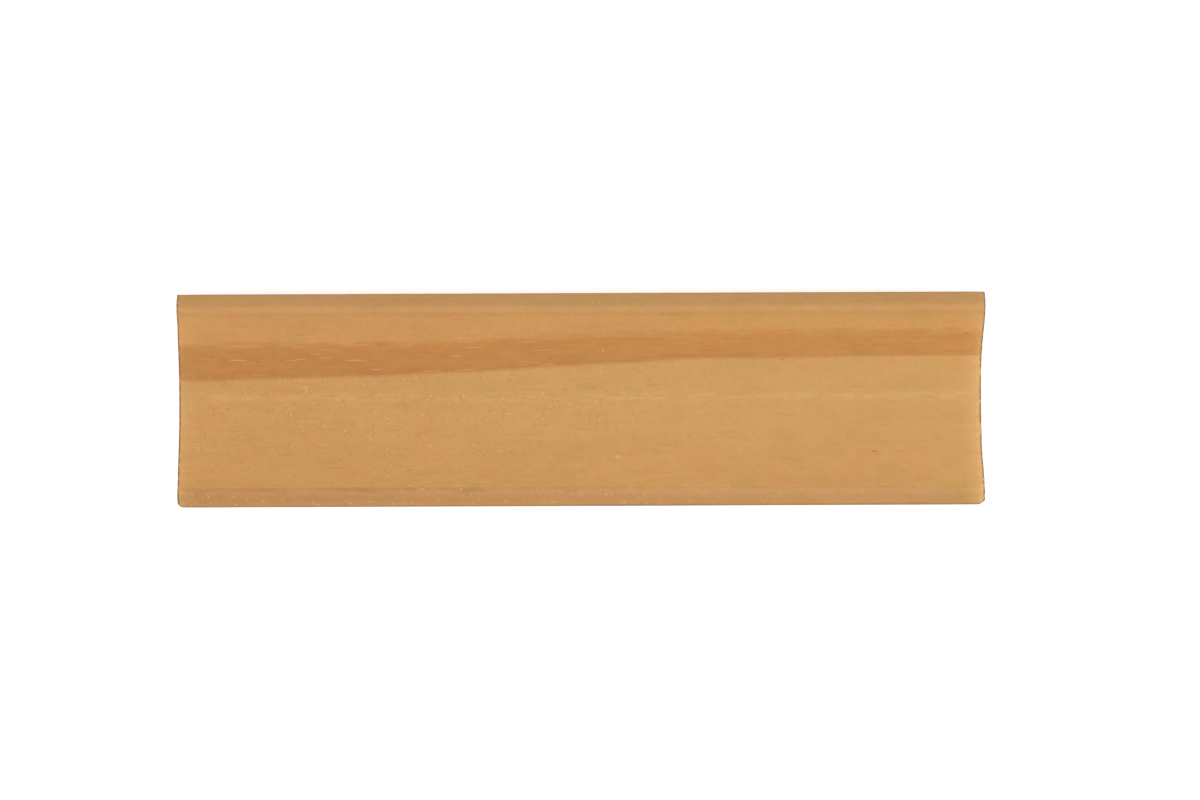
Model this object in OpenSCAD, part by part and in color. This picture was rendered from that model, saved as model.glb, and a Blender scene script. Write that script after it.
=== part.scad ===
// Cove corner moulding: one length of planed pine that covers the corner between a wall and a ceiling.
// It lies on the flat of its back, with the cove facing up and its length along X.

/* [Stock] */
// Length between the two sawn ends
moulding_l = 157; // [50:1:2400]
// Width of each bevelled face, measured to the back corner as if that were whole
face_w = 30; // [20:0.5:60]
// Width of the flat planed across the back corner
back_w = 15; // [4:0.5:20]

/* [Lips] */
// Width of the square lip between a bevelled face and the cove
lip_w = 5; // [3:0.5:10]
// Radius that eases the corner between a lip and the cove
cove_edge_r = 1.5; // [0.3:0.1:3]
// Radius that eases the corner between a lip and a bevelled face
face_edge_r = 1.2; // [0.3:0.1:3]

/* [Hidden] */
$fn = 96;
pine = [0.80, 0.60, 0.37];

// The cove is a quarter circle about the far corner of the square that the section is planed from
cove_r = face_w - lip_w;
// What the back flat takes from the width of each bevelled face, and from the depth of the section
back_leg = back_w / sqrt(2);
back_depth = back_w / 2;
// The round between a lip and the cove touches both, so its centre stands cove_r + cove_edge_r
// from the centre of the cove, in the direction edge_turn away from the line of the lip
edge_turn = asin(cove_edge_r / (cove_r + cove_edge_r));
cove_edge_y = face_w - (cove_r + cove_edge_r) * cos(edge_turn);
// How far a cut runs out of the timber
over = 1;

// The square stock with its back corner planed off. The two bevelled faces lie along the axes.
module stock_section() {
    polygon([
        [back_leg, 0],
        [face_w, 0],
        [face_w, face_w],
        [0, face_w],
        [0, back_leg],
    ]);
}

// What the round between a bevelled face and its lip takes off
module face_edge_waste() {
    difference() {
        translate([face_w - face_edge_r, -over])
            square(face_edge_r + over);
        translate([face_w - face_edge_r, face_edge_r])
            circle(face_edge_r);
    }
}

// What the round between a lip and the cove takes off
module cove_edge_waste() {
    reach = cove_edge_r + over;
    translate([face_w - cove_edge_r, cove_edge_y])
        difference() {
            polygon([
                [0, 0],
                [reach, 0],
                [reach, reach],
                [reach * sin(edge_turn), reach * cos(edge_turn)],
            ]);
            circle(cove_edge_r);
        }
}

module lip_waste() {
    face_edge_waste();
    cove_edge_waste();
}

// The whole section, with both lips and the cove between them
module section() {
    difference() {
        stock_section();
        translate([face_w, face_w])
            circle(cove_r);
        lip_waste();
        mirror([1, -1])
            lip_waste();
    }
}

// The section turned so that the back flat lies on the ground, and run out along X
module corner_moulding() {
    color(pine)
        translate([-moulding_l / 2, 0, 0])
            rotate([90, 0, 90])
                linear_extrude(height = moulding_l)
                    translate([0, -back_depth])
                        rotate(45)
                            section();
}

corner_moulding();
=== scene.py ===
import math
import random

import bmesh
import bpy
from mathutils import Matrix, Vector, noise


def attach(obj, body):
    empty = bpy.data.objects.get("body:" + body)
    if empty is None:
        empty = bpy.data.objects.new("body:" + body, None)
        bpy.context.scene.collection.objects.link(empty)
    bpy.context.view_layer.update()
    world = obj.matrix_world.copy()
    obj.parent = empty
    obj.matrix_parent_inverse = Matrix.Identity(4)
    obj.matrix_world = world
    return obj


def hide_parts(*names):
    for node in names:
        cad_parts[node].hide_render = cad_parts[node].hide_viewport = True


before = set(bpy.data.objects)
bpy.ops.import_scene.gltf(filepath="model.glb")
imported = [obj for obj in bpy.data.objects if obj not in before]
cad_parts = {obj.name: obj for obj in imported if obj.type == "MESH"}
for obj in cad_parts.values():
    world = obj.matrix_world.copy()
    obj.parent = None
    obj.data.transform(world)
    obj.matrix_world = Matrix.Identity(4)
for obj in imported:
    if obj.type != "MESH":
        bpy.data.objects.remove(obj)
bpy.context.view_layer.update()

# Corner moulding
# One short length of pine, planed to a cove section on a moulder and cut to length with a saw.
# The section is drawn at the left end, from the middle of the back round to the middle of the cove,
# mirrored, and run out along the grain. The ends and edges are then worn a little.
MM = 0.001
length = 157 * MM
face_w = 30 * MM
back_w = 15 * MM
lip_w = 5 * MM
cove_edge_r = 1.5 * MM
face_edge_r = 1.2 * MM
back_edge_r = 0.45 * MM
cove_r = face_w - lip_w
cove_centre = Vector((0, 0, face_w * math.sqrt(2) - back_w / 2))
edge_turn = math.asin(cove_edge_r / (cove_r + cove_edge_r))
half_width = (face_w - 2 * face_edge_r) * math.sqrt(0.5) + face_edge_r


def section_place(along, out):
    """A place in the section, given along the right bevelled face and square out of it."""
    across = (along - out) * math.sqrt(0.5)
    height = (along + out) * math.sqrt(0.5) - back_w / 2
    return Vector((-length / 2, across, height))


def go_straight(bm, tip, target, steps):
    """Carries the outline from its last vertex straight to the target."""
    step = (target - tip.co) / steps
    swept = bmesh.ops.spin(bm, geom=[tip], cent=tip.co, axis=(1, 0, 0), dvec=step, angle=0, steps=steps)
    return [v for v in swept["geom_last"] if isinstance(v, bmesh.types.BMVert)][0]


def go_round(bm, tip, centre, angle, steps):
    """Carries the outline from its last vertex round a centre, anticlockwise from the right end."""
    middle = Vector((tip.co.x, centre.y, centre.z))
    swept = bmesh.ops.spin(bm, geom=[tip], cent=middle, axis=(1, 0, 0), angle=angle, steps=steps)
    return [v for v in swept["geom_last"] if isinstance(v, bmesh.types.BMVert)][0]


# Steps along each stretch of the outline. The back and the cove need as many as each other.
flat_steps = 12
easing_steps = 3
bevel_steps = 38
round_steps = 6
cove_steps = flat_steps + easing_steps + bevel_steps

moulding = bmesh.new()
easing_y = back_w / 2 - back_edge_r * math.tan(math.radians(22.5))
tip = moulding.verts.new((-length / 2, 0, 0))
tip = go_straight(moulding, tip, Vector((-length / 2, easing_y, 0)), flat_steps)
tip = go_round(moulding, tip, Vector((0, easing_y, back_edge_r)), math.radians(45), easing_steps)
tip = go_straight(moulding, tip, section_place(face_w - face_edge_r, 0), bevel_steps)
go_round(moulding, tip, section_place(face_w - face_edge_r, face_edge_r), math.radians(90), round_steps)
tip = moulding.verts.new((-length / 2, 0, cove_centre.z - cove_r))
tip = go_round(moulding, tip, cove_centre, math.radians(45) - edge_turn, cove_steps)
edge_centre = section_place(face_w - cove_edge_r, face_w - (cove_r + cove_edge_r) * math.cos(edge_turn))
go_round(moulding, tip, edge_centre, edge_turn - math.radians(90), round_steps)

# Straight edges join the two outlines from the back to the cove, and are cut to fill the section.
fill_cuts = 13
weld = 0.01 * MM
bridged = bmesh.ops.bridge_loops(moulding, edges=moulding.edges[:])
bmesh.ops.subdivide_edges(moulding, edges=bridged["edges"], cuts=fill_cuts, use_grid_fill=True)
half = moulding.verts[:] + moulding.edges[:] + moulding.faces[:]
bmesh.ops.mirror(moulding, geom=half, matrix=Matrix.Identity(4), merge_dist=weld, axis="Y")
bmesh.ops.remove_doubles(moulding, verts=moulding.verts[:], dist=weld)

# The section is run out along the grain, and cut across often enough to carry the wear.
run_cuts = 259
run = bmesh.ops.extrude_face_region(moulding, geom=moulding.faces[:])
right_end = [v for v in run["geom"] if isinstance(v, bmesh.types.BMVert)]
bmesh.ops.translate(moulding, vec=(length, 0, 0), verts=right_end)
long_edges = [e for e in moulding.edges if abs(e.verts[0].co.x - e.verts[1].co.x) > length / 2]
bmesh.ops.subdivide_edges(moulding, edges=long_edges, cuts=run_cuts, use_grid_fill=True)
bmesh.ops.recalc_face_normals(moulding, faces=moulding.faces[:])


def smooth(value, low, high):
    """Goes smoothly from 0 to 1 while the value goes from low to high."""
    share = min(max((value - low) / (high - low), 0), 1)
    return share * share * (3 - 2 * share)


def end_wear(side, across, depth):
    """How far an end has broken back from its full length, in millimetres. It is given for a place
    across the piece and a depth below the cove, both in millimetres, at the left (-1) or right (1)."""
    tear = 0.5 + 0.5 * noise.noise((across / 0.55, depth, 11 * side))
    if side < 0:
        worn = 0.02 + 0.10 * smooth(across, 11, 15) + 0.12 * smooth(across, -13.5, -15.5) + 0.05 * tear
    else:
        worn = 0.02 + 0.46 * smooth(across, 17, 6) - 0.17 * smooth(across, -9, -15) + 0.16 * tear
    return worn * (0.35 + 0.65 * math.exp(-depth / 2.5))


# The cuts across are moved closer together towards the ends, where the wear is finest. The saw has torn
# the ends back a little, most of all the thin edge of the cove at the right.
crowding = 0.3
tear_reach = 4
for v in moulding.verts:
    share = v.co.x / (length / 2)
    v.co.x = length / 2 * share * (1 + crowding - crowding * share * share)
    side = 1 if share > 0 else -1
    depth = max(((v.co - cove_centre) * Vector((0, 1, 1))).length - cove_r, 0) / MM
    from_end = (length / 2 - abs(v.co.x)) / MM
    if from_end < tear_reach:
        v.co.x -= side * end_wear(side, v.co.y / MM, depth) * (1 - from_end / tear_reach) ** 2 * MM

# Use has rubbed the outermost edges of the lips, unevenly along the piece, and rounded its four corners.
rub_depth = 0.015 * MM
for v in moulding.verts:
    rubbed = (1 + 0.8 * noise.noise((v.co.x / MM / 3, v.co.y, 5))) * rub_depth
    v.co.y -= math.copysign(rubbed * smooth(abs(v.co.y) / MM, 20.2, 20.6), v.co.y)
    v.co.z -= rubbed * smooth(v.co.z / MM, 16.2, 16.6)
for side_x, side_y, corner_r in ((-1, 1, 0.2), (-1, -1, 1.25), (1, 1, 0.5), (1, -1, 1.8)):
    turn_x = side_x * (length / 2 - corner_r * MM)
    turn_y = side_y * (half_width - corner_r * MM)
    for v in moulding.verts:
        out = Vector((v.co.x - turn_x, v.co.y - turn_y))
        if out.x * side_x > 0 and out.y * side_y > 0 and out.length > corner_r * MM:
            out.length = corner_r * MM
            v.co.x = turn_x + out.x
            v.co.y = turn_y + out.y


def splinter(root, direction, long, wide):
    """A torn fibre: a thin pointed cone that grows out of the wood at its root."""
    turned = direction.to_track_quat("Z", "Y").to_matrix().to_4x4()
    place = Matrix.Translation(root + direction.normalized() * long / 2) @ turned
    bmesh.ops.create_cone(
        moulding, cap_ends=True, segments=5, radius1=wide / 2, radius2=wide / 12, depth=long, matrix=place)


# Torn fibres: a fringe along the thin edge of the cove, thicker at the right end than at the left
dice = random.Random(4)
for side, count in ((1, 110), (-1, 60)):
    for index in range(count):
        turn = math.radians(dice.uniform(-43, 43))
        below = dice.uniform(0.02, 0.5) * MM
        outward = Vector((0, math.sin(turn), -math.cos(turn)))
        root = cove_centre + outward * (cove_r + below)
        worn = end_wear(side, root.y / MM, below / MM) * MM
        reach = dice.uniform(0.0, 0.45) * worn
        long = reach + dice.uniform(0.3, 0.8) * MM
        root.x = side * (length / 2 - worn + reach - long)
        lift = outward * -dice.uniform(0.0, 0.12)
        splinter(root, Vector((side, 0, 0)) + lift, long, dice.uniform(0.08, 0.2) * MM)

moulding_mesh = bpy.data.meshes.new("pine_moulding")
moulding.to_mesh(moulding_mesh)
moulding.free()
moulding_mesh.shade_smooth()
moulding_mesh.set_sharp_from_angle(angle=math.radians(30))
pine_moulding = bpy.data.objects.new("pine_moulding", moulding_mesh)
bpy.context.scene.collection.objects.link(pine_moulding)


def srgb(red, green, blue):
    """A colour given in 0 to 255 as it should look, as linear numbers for a shader."""
    parts = [channel / 255 for channel in (red, green, blue)]
    return [p / 12.92 if p <= 0.04045 else ((p + 0.055) / 1.055) ** 2.4 for p in parts] + [1]


pine = bpy.data.materials.new("planed_pine")
pine.use_nodes = True
grain = pine.node_tree
shader = grain.nodes["Principled BSDF"]
surface = grain.nodes.new("ShaderNodeTexCoord").outputs


def link(value, socket):
    """Puts a number, a colour or another node's output into a socket."""
    if isinstance(value, bpy.types.NodeSocket):
        grain.links.new(value, socket)
    else:
        socket.default_value = value


def maths(operation, *values):
    """The result of one sum on numbers."""
    made = grain.nodes.new("ShaderNodeMath")
    made.operation = operation
    for value, socket in zip(values, made.inputs):
        link(value, socket)
    return made.outputs[0]


def times(*values):
    """All the values multiplied together."""
    product = values[0]
    for value in values[1:]:
        product = maths("MULTIPLY", product, value)
    return product


def vector_maths(operation, first, second, output="Vector"):
    """The result of one sum on vectors."""
    made = grain.nodes.new("ShaderNodeVectorMath")
    made.operation = operation
    link(first, made.inputs[0])
    link(second, made.inputs[1])
    return made.outputs[output]


def ramp(value, low, high, to_low=0.0, to_high=1.0):
    """Goes smoothly from to_low to to_high while the value goes from low to high."""
    made = grain.nodes.new("ShaderNodeMapRange")
    made.interpolation_type = "SMOOTHSTEP"
    link(value, made.inputs["Value"])
    link(low, made.inputs["From Min"])
    link(high, made.inputs["From Max"])
    link(to_low, made.inputs["To Min"])
    link(to_high, made.inputs["To Max"])
    return made.outputs["Result"]


def blend(share, first, second, mode="MIX"):
    """The first colour where the share is 0, and the second laid over it where the share is 1."""
    made = grain.nodes.new("ShaderNodeMix")
    made.data_type = "RGBA"
    made.blend_type = mode
    link(share, made.inputs["Factor"])
    link(first, made.inputs[6])
    link(second, made.inputs[7])
    return made.outputs[2]


def split(vector):
    """The three numbers of a vector."""
    made = grain.nodes.new("ShaderNodeSeparateXYZ")
    link(vector, made.inputs[0])
    return made.outputs


def speckle(vector, stretch, detail=2.0, roughness=0.5):
    """Noise whose lumps are as long along X, Y and Z as stretch says, in millimetres."""
    made = grain.nodes.new("ShaderNodeTexNoise")
    link(vector_maths("DIVIDE", vector, stretch), made.inputs["Vector"])
    made.inputs["Scale"].default_value = 1.0
    made.inputs["Detail"].default_value = detail
    made.inputs["Roughness"].default_value = roughness
    return made.outputs["Fac"]


def scatter(vector, spacing, share, size, blur):
    """Marks strewn through the wood, 1 inside and 0 outside, and a random strength for each. A share of the
    places, spaced along X, Y and Z in millimetres, carries one. Size and blur are parts of the spacing."""
    made = grain.nodes.new("ShaderNodeTexVoronoi")
    link(vector_maths("DIVIDE", vector, spacing), made.inputs["Vector"])
    made.inputs["Scale"].default_value = 1.0
    luck = split(made.outputs["Color"])
    inside = ramp(made.outputs["Distance"], size, maths("ADD", size, blur), 1, 0)
    return times(maths("LESS_THAN", luck[0], share), inside), ramp(luck[1], 0, 1, 0.35, 1)


# Places in the wood are in millimetres, from the middle of the back flat.
mm_place = vector_maths("MULTIPLY", surface["Object"], (1000, 1000, 1000))
x, y, z = split(mm_place)
half_length = length / MM / 2
facing = split(surface["Normal"])
sawn = ramp(maths("ABSOLUTE", facing[0]), 0.55, 0.8)


def about(centre):
    """The place about a line that runs along the grain through a centre, and the distance from it."""
    place = vector_maths("MULTIPLY", vector_maths("SUBTRACT", mm_place, centre), (0, 1, 1))
    return place, vector_maths("LENGTH", place, (0, 0, 0), output="Value")


# Growth rings: distance from the heart of the tree, which ran above the cove and wanders along the piece.
# Each ring goes slowly from pale early wood to darker late wood and stops sharply at its outer side.
ring_w = 10.8
mean_edge_r = 60.21
from_heart, ring_r = about((0, 18, 70))
drift = maths("TANH", maths("DIVIDE", maths("ADD", x, 10), 42))
edge_r = maths("SUBTRACT", mean_edge_r, times(drift, 1.05))
slow_sway = times(maths("SUBTRACT", speckle(mm_place, (30, 8, 8), 2), 0.5), 0.5)
past_edge = maths("ADD", maths("SUBTRACT", ring_r, edge_r), slow_sway)
in_ring = maths("FLOORED_MODULO", past_edge, ring_w)
wisp = times(maths("SUBTRACT", speckle(mm_place, (6, 0.9, 0.9), 3, 0.55), 0.5), 2.2)
before_edge = maths("ADD", maths("SUBTRACT", ring_w, in_ring), wisp)
late_rise = ramp(before_edge, ramp(x, -80, -10, 2.35, 1.95), 3.65, 1, 0)
late_end = ramp(in_ring, 0.0, 0.42, 1, 0)
latewood = maths("MAXIMUM", late_rise, late_end)
early = maths("SUBTRACT", 1, latewood)
late_colour = blend(ramp(x, -40, 50), srgb(187, 129, 63), srgb(191, 134, 65))
wood = blend(latewood, srgb(205, 155, 93), late_colour)
wood = blend(ramp(before_edge, 7.5, 3, 0, 0.36), wood, srgb(198, 140, 80))
late_blotch = ramp(speckle(mm_place, (6, 1.2, 1.2), 2), 0.45, 0.65)
wood = blend(times(latewood, late_blotch, 0.5), wood, srgb(190, 128, 66))
edge_line = times(ramp(in_ring, 10.2, 10.7), ramp(speckle(mm_place, (7, 2, 2), 1), 0.45, 0.6))
wood = blend(times(edge_line, 0.5), wood, srgb(184, 121, 58))

# A pale streak runs down the middle of the cove, where two cuts of the moulder meet.
pale_patch = ramp(speckle(mm_place, (5, 0.8, 0.8), 3, 0.6), 0.4, 0.62)
streak = times(ramp(maths("ABSOLUTE", maths("SUBTRACT", y, 0.6)), 0.2, 1.3, 1, 0), pale_patch)
wood = blend(times(streak, 0.65), wood, srgb(215, 169, 106))

# Soft clouds of a pinker and a more olive wood, faint fibres, and a tone that lightens to the right.
# Painted light also lightens the cove towards both lips and darkens its middle, to even out the shade that
# the lamp and the room give its walls.
cloud = speckle(mm_place, (7, 5, 5), 2, 0.5)
from_middle = maths("ABSOLUTE", maths("SUBTRACT", y, 1.5))
wood = blend(ramp(cloud, 0.48, 0.72), wood, srgb(255, 250, 248), "MULTIPLY")
wood = blend(ramp(cloud, 0.52, 0.32), wood, srgb(250, 252, 244), "MULTIPLY")
wood = blend(ramp(x, 20, -60), wood, srgb(255, 251, 248), "MULTIPLY")
wood = blend(ramp(from_middle, 8, 3), wood, srgb(255, 254, 249), "MULTIPLY")
tone_and_painted_light = times(
    ramp(speckle(mm_place, (6, 0.4, 0.4), 2, 0.6), 0.3, 0.7, 0.985, 1.015),
    ramp(speckle(mm_place, (1.3, 1.0, 1.0), 2, 0.6), 0.3, 0.7, 0.975, 1.025),
    ramp(speckle(mm_place, (22, 5, 5), 2), 0.3, 0.7, 0.98, 1.02),
    ramp(x, -80, 80, 0.98, 1.025),
    # Painted light: lighter towards both lips, darker in the middle of the cove
    ramp(y, -6, -16.5, 1, 1.075),
    ramp(y, 6, 14, 1, 1.04),
    ramp(maths("ABSOLUTE", maths("SUBTRACT", y, 2)), 1, 9, 0.965, 1),
)

# Resin canals: short bent dashes along the grain, pale with a dark rim in the late wood and faintly dark
# in the early wood. A few dark flecks lie between them.
bent = speckle(mm_place, (3, 1.5, 1.5), 1)
canal_bend = grain.nodes.new("ShaderNodeCombineXYZ")
link(times(maths("SUBTRACT", bent, 0.5), 0.9), canal_bend.inputs["Y"])
canal_place = vector_maths("ADD", mm_place, canal_bend.outputs[0])
canal_space = (13, 0.8, 0.8)
canal_share = ramp(x, -45, 20, 1.0, 0.3)
canal, canal_tone = scatter(canal_place, canal_space, canal_share, 0.12, 0.12)
canal_halo = scatter(canal_place, canal_space, canal_share, 0.26, 0.14)[0]
canal_rim = maths("SUBTRACT", canal_halo, canal)
fleck, fleck_tone = scatter(mm_place, (3, 0.9, 0.9), 0.012, 0.1, 0.16)

# Fibres that the knives lifted: fine curls with a shadow beside each, thickest left of the middle, and
# upright pale ticks and dark nicks, most of all on the lower lip
low_lip = ramp(y, -16.6, -17.15)
calm_side = ramp(y, 9, 14, 1, 0.3)
curl = speckle(mm_place, (0.8, 1.2, 1.2), 1)
curl_patch = speckle(mm_place, (1.6, 1.6, 1.6), 2)
curl_belt = times(ramp(maths("ABSOLUTE", y), 8, 3), ramp(x, -78, -60), ramp(x, 30, -5))
curl_limit = maths("SUBTRACT", 0.56, times(curl_belt, 0.05))
curl_patches = ramp(curl_patch, curl_limit, maths("ADD", curl_limit, 0.1))
curl_place = times(early, curl_patches, ramp(x, -5, 45, 1, 0.35), calm_side)
curl_light = times(ramp(maths("ABSOLUTE", maths("SUBTRACT", curl, 0.52)), 0.015, 0.045, 1, 0), curl_place)
curl_shade = times(ramp(maths("ABSOLUTE", maths("SUBTRACT", curl, 0.45)), 0.015, 0.045, 1, 0), curl_place)
torn_patch = ramp(speckle(mm_place, (5, 5, 5), 1), 0.42, 0.6, 0.2, 1)
tick_share = maths("ADD", times(calm_side, 0.03), times(low_lip, torn_patch, ramp(x, -20, 30, 0.9, 0.35)))
tick_share = maths("ADD", tick_share, times(curl_belt, 0.12))
tick, tick_tone = scatter(mm_place, (0.6, 2.4, 2.4), tick_share, 0.06, 0.2)
nick, nick_tone = scatter(mm_place, (0.55, 2.0, 2.0), times(tick_share, 0.8), 0.06, 0.2)

# The two lips: the upper one is greyed with painted shade, and a faint band of painted shade lies beside it
# over its rounded inner edge. The lower one is browner, with a pale streak near its crest.
top_lip = ramp(y, 17.8, 19.2)
top_corner_painted_shade = times(ramp(y, 15.9, 16.9), ramp(y, 19.0, 18.2))
lip_patch = speckle(mm_place, (9, 1.5, 1.5), 3, 0.6)
top_lip_painted_shade = blend(lip_patch, srgb(232, 236, 240), srgb(247, 247, 250))
low_tone = blend(ramp(x, -70, 70), srgb(233, 226, 230), srgb(239, 239, 242))
lip_streak = times(low_lip, ramp(y, -18.2, -17.7), ramp(lip_patch, 0.5, 0.62))
# Painted shade goes on first: the band over the upper lip's inner edge, then the grey of the upper lip.
wood = blend(top_corner_painted_shade, wood, srgb(246, 243, 246), "MULTIPLY")
wood = blend(top_lip, wood, top_lip_painted_shade, "MULTIPLY")
wood = blend(times(low_lip, ramp(y, -20.4, -19.4, 0.6, 1)), wood, low_tone, "MULTIPLY")
wood = blend(times(lip_streak, 0.8), wood, srgb(238, 238, 224), "MULTIPLY")

# The canals, flecks and lifted fibres are laid over the wood and its lips.
wood = blend(times(canal, latewood, canal_tone, 0.9), wood, srgb(214, 163, 102))
wood = blend(times(canal_rim, latewood, canal_tone, 0.5), wood, srgb(180, 118, 56))
wood = blend(times(canal, early, 0.1), wood, srgb(176, 122, 62))
wood = blend(times(fleck, fleck_tone, 0.7), wood, srgb(150, 104, 52))
wood = blend(times(curl_light, 0.6), wood, srgb(221, 177, 116))
wood = blend(times(curl_shade, 0.45), wood, srgb(180, 126, 68))
wood = blend(times(tick, tick_tone, 0.75), wood, srgb(217, 172, 112))
wood = blend(times(nick, nick_tone, 0.5), wood, srgb(176, 122, 68))

# Torn rim: beside each sawn end the cove is bright and fuzzy, with a line of painted shade on the very
# edge, where the torn fibres and the turned end shade it. The edge itself lies back by what end_wear takes
# there on average.
right_wear = maths("SUBTRACT", ramp(y, 17, 6, 0.08, 0.54), ramp(y, -9, -15, 0, 0.17))
left_wear = maths("ADD", ramp(y, 11, 15, 0.04, 0.14), ramp(y, -13.5, -15.5, 0, 0.12))
from_right = maths("SUBTRACT", maths("SUBTRACT", half_length, x), right_wear)
from_left = maths("SUBTRACT", maths("ADD", x, half_length), left_wear)
from_rim = maths("MINIMUM", from_left, from_right)
rim_share = times(ramp(x, -10, 10, 0.4, 1), ramp(y, 16, 12, 0.25, 1), ramp(latewood, 0, 1, 1, 0.35))
rim_glow = times(maths("POWER", ramp(from_rim, 6, 0), 2), rim_share)
wood = blend(times(rim_glow, 0.4), wood, srgb(230, 182, 120))
rim_band = times(ramp(from_rim, 1.6, 0.5), ramp(speckle(mm_place, (2, 0.9, 0.9), 2), 0.4, 0.6, 0.1, 0.5))
wood = blend(times(rim_band, rim_share), wood, srgb(229, 179, 112))
rim_fuzz, rim_tone = scatter(mm_place, (0.7, 0.45, 0.45), ramp(from_rim, 1.8, 0.3, 0, 0.9), 0.2, 0.2)
wood = blend(times(rim_fuzz, rim_tone, rim_share, 0.9), wood, srgb(240, 197, 128))
# The dark line on the very edge of each end is painted shade.
edge_painted_shade_w = ramp(x, -10, 10, 0.44, 0.34)
edge_painted_shade = times(ramp(from_rim, edge_painted_shade_w, 0.2), ramp(speckle(mm_place, (0.5, 1.1, 1.1), 2), 0.38, 0.5))
wood = blend(times(edge_painted_shade, 0.85), wood, srgb(122, 102, 76))

# Painted shade: cooler, darker lines along the outermost edge of each lip, where it turns away from the
# lamp
wood = blend(ramp(y, -20.25, -20.5), wood, srgb(222, 236, 255), "MULTIPLY")
wood = blend(ramp(y, 20.35, 20.6), wood, srgb(240, 248, 255), "MULTIPLY")

# Sawn ends: browner end grain with rays that run from the heart, fine pale and dark pores, canals cut
# across as dark dots, a pale rim under the cove and the arcs of the saw
_, across, up = split(from_heart)
ray_turn = times(maths("ARCTAN2", across, up), 180)
ray_place = grain.nodes.new("ShaderNodeCombineXYZ")
link(ray_turn, ray_place.inputs["X"])
link(times(ring_r, 0.4), ray_place.inputs["Y"])
rays = speckle(ray_place.outputs[0], (1, 1, 1), 2, 0.6)
end_grain = blend(latewood, srgb(206, 155, 97), srgb(190, 134, 76))
end_grain = blend(ramp(rays, 0.5, 0.65, 0, 0.2), end_grain, srgb(208, 158, 102))

pores = speckle(mm_place, (1, 0.16, 0.16), 2, 0.7)
pale_pores = times(ramp(pores, 0.5, 0.35), ramp(latewood, 0, 1, 0.6, 0.2))
dark_pores = times(ramp(pores, 0.55, 0.7), ramp(latewood, 0, 1, 0.5, 0.25))
end_grain = blend(pale_pores, end_grain, srgb(224, 178, 120))
end_grain = blend(dark_pores, end_grain, srgb(168, 114, 60))
end_place = vector_maths("MULTIPLY", mm_place, (0, 1, 1))
dot, dot_tone = scatter(end_place, (1, 1.4, 1.4), 0.17, 0.1, 0.1)
end_grain = blend(times(dot, dot_tone), end_grain, srgb(104, 58, 28))

cove_distance = about(tuple(cove_centre / MM))[1]
from_cove = maths("SUBTRACT", cove_distance, cove_r / MM)
end_grain = blend(times(ramp(from_cove, 0.35, 0.1), 0.7), end_grain, srgb(232, 190, 134))
saw_pitch = 0.9
saw_r = about((0, 95, -60))[1]
saw_shake = times(speckle(mm_place, (1, 6, 6), 2), 1.5)
saw_arc = maths("SINE", times(maths("ADD", saw_r, saw_shake), 2 * math.pi / saw_pitch))
end_grain = blend(ramp(saw_arc, 0.2, 1, 0, 0.12), end_grain, srgb(166, 114, 62))

wood = blend(sawn, wood, end_grain)
# The tone, which holds the painted light on the cove, is laid over all the colour.
wood = blend(1.0, wood, tone_and_painted_light, "MULTIPLY")
link(wood, shader.inputs["Base Color"])

# Late wood is a little denser and shinier, torn fibres and the sawn ends are dull.
rough = maths("SUBTRACT", 0.62, times(latewood, 0.08))
rough = maths("ADD", rough, times(maths("SUBTRACT", speckle(mm_place, (5, 0.6, 0.6), 3), 0.5), 0.2))
rough = maths("ADD", rough, times(maths("ADD", tick, curl_light), 0.15))
link(maths("MAXIMUM", rough, times(sawn, 0.85)), shader.inputs["Roughness"])
shader.inputs["Specular IOR Level"].default_value = 0.3
shader.inputs["Sheen Weight"].default_value = 0.05
shader.inputs["Sheen Roughness"].default_value = 0.4

# Relief in millimetres: fibres and knife marks on the planed faces, saw marks and pores on the ends
knife_pitch = 1.3
knife = times(maths("SINE", times(x, 2 * math.pi / knife_pitch)), 0.0012)
planed = maths("ADD", knife, times(speckle(mm_place, (4, 0.25, 0.25), 3, 0.6), 0.02))
planed = maths("ADD", planed, times(maths("ADD", curl_light, tick), 0.03))
planed = maths("SUBTRACT", planed, times(maths("ADD", maths("ADD", canal, fleck), nick), 0.03))
cut = maths("ADD", times(saw_arc, 0.012), times(pores, -0.08))
cut = maths("SUBTRACT", cut, times(dot, 0.1))
relief = grain.nodes.new("ShaderNodeMix")
link(sawn, relief.inputs["Factor"])
link(planed, relief.inputs["A"])
link(cut, relief.inputs["B"])
bump = grain.nodes.new("ShaderNodeBump")
bump.inputs["Distance"].default_value = MM
link(relief.outputs["Result"], bump.inputs["Height"])
link(bump.outputs["Normal"], shader.inputs["Normal"])
moulding_mesh.materials.append(pine)

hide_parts("corner_moulding")
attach(pine_moulding, "root")

# Floor and light
# A white table, with a broad lamp above it and even light all round. Its top lies a hair below the
# piece, so that the two share no plane, and it glows where it is seen, so that it shows white.
floor_size = 3
floor_gap = 0.03 * MM
floor_form = bmesh.new()
bmesh.ops.create_grid(floor_form, x_segments=1, y_segments=1, size=floor_size)
floor_mesh = bpy.data.meshes.new("floor")
floor_form.to_mesh(floor_mesh)
floor_form.free()
floor = bpy.data.objects.new("floor", floor_mesh)
floor.location.z = -floor_gap
bpy.context.scene.collection.objects.link(floor)

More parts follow.
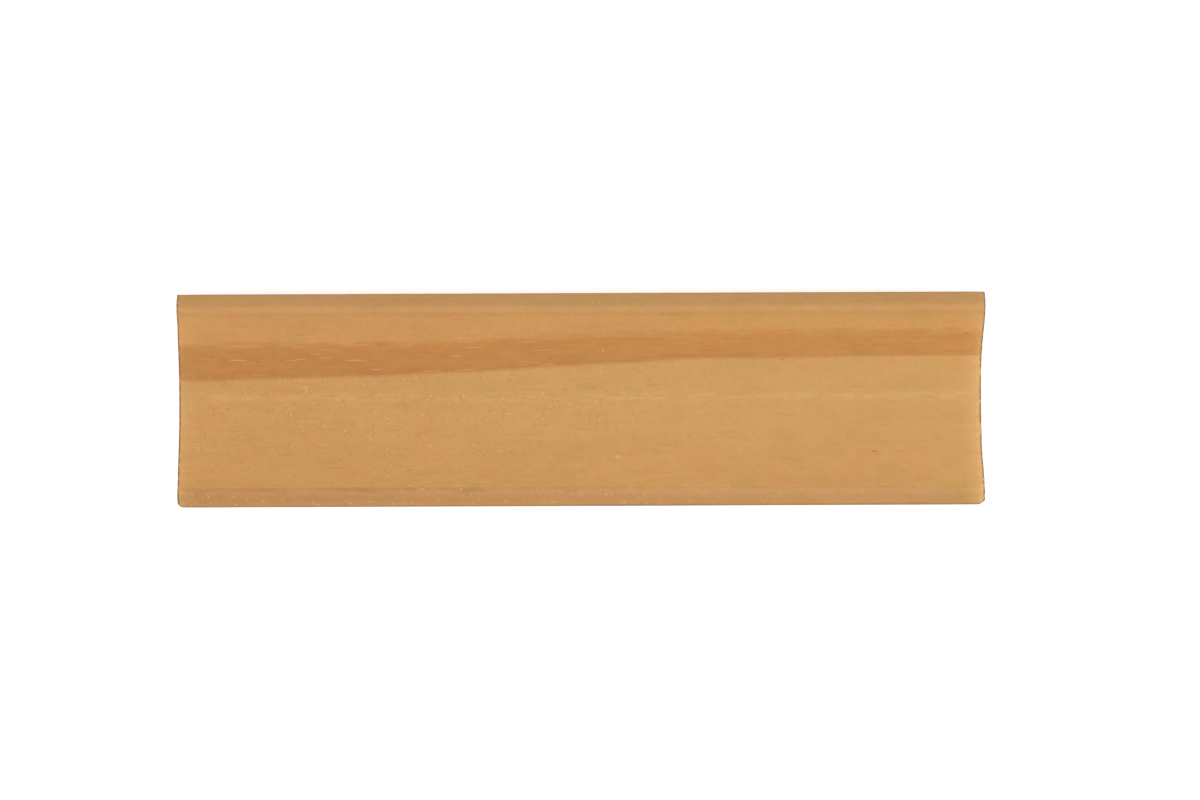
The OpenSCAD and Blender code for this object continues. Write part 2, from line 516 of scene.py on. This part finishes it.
white = bpy.data.materials.new("white_table")
white.use_nodes = True
nodes, links = white.node_tree.nodes, white.node_tree.links
nodes.clear()
matt = nodes.new("ShaderNodeBsdfDiffuse")
matt.inputs["Color"].default_value = (0.8, 0.8, 0.8, 1)
glow = nodes.new("ShaderNodeEmission")
glow.inputs["Color"].default_value = (1, 1, 1, 1)
path = nodes.new("ShaderNodeLightPath")
seen = nodes.new("ShaderNodeMath")
seen.operation = "MAXIMUM"
links.new(path.outputs["Is Camera Ray"], seen.inputs[0])
links.new(path.outputs["Is Glossy Ray"], seen.inputs[1])
level = nodes.new("ShaderNodeMath")
level.operation = "MULTIPLY"
level.inputs[1].default_value = 0.5
links.new(seen.outputs[0], level.inputs[0])
links.new(level.outputs[0], glow.inputs["Strength"])
both = nodes.new("ShaderNodeAddShader")
links.new(matt.outputs[0], both.inputs[0])
links.new(glow.outputs[0], both.inputs[1])
output = nodes.new("ShaderNodeOutputMaterial")
links.new(both.outputs[0], output.inputs["Surface"])
floor_mesh.materials.append(white)

# The room is pure white where the camera sees it, and lights the piece with less than that.
room_light = 0.64
room_seen = 1.0
world = bpy.data.worlds.new("white_room")
bpy.context.scene.world = world
world.use_nodes = True
nodes, links = world.node_tree.nodes, world.node_tree.links
room = nodes["Background"]
room.inputs["Color"].default_value = (1, 1, 1, 1)
path = nodes.new("ShaderNodeLightPath")
choose = nodes.new("ShaderNodeMix")
choose.inputs["A"].default_value = room_light
choose.inputs["B"].default_value = room_seen
links.new(path.outputs["Is Camera Ray"], choose.inputs["Factor"])
links.new(choose.outputs["Result"], room.inputs["Strength"])

lamp = bpy.data.lights.new("lamp", "SUN")
lamp.energy = 1.25
lamp.angle = math.radians(25)
lamp_object = bpy.data.objects.new("lamp", lamp)
lamp_object.rotation_euler = (math.radians(6), 0, 0)
bpy.context.scene.collection.objects.link(lamp_object)

# Camera
# It looks straight down on the cove from about a metre, and hangs a touch to the right of the piece.
# The lens is chosen so that a pixel spans the same length on the lips as it does in the photograph.
camera_height = 950 * MM
lip_height = 15 * MM
mm_per_pixel = 0.19405
frame_width = 1200
sensor_width = 36
camera_data = bpy.data.cameras.new("camera")
camera_data.sensor_width = sensor_width
camera_data.lens = sensor_width * (camera_height - lip_height) / (frame_width * mm_per_pixel * MM)
camera = bpy.data.objects.new("camera", camera_data)
camera.location = (3.64 * MM, -0.10 * MM, camera_height)
camera.rotation_euler = (0, 0, math.radians(-0.23))
bpy.context.scene.collection.objects.link(camera)
bpy.context.scene.camera = camera
bpy.context.scene.view_settings.view_transform = "Standard"
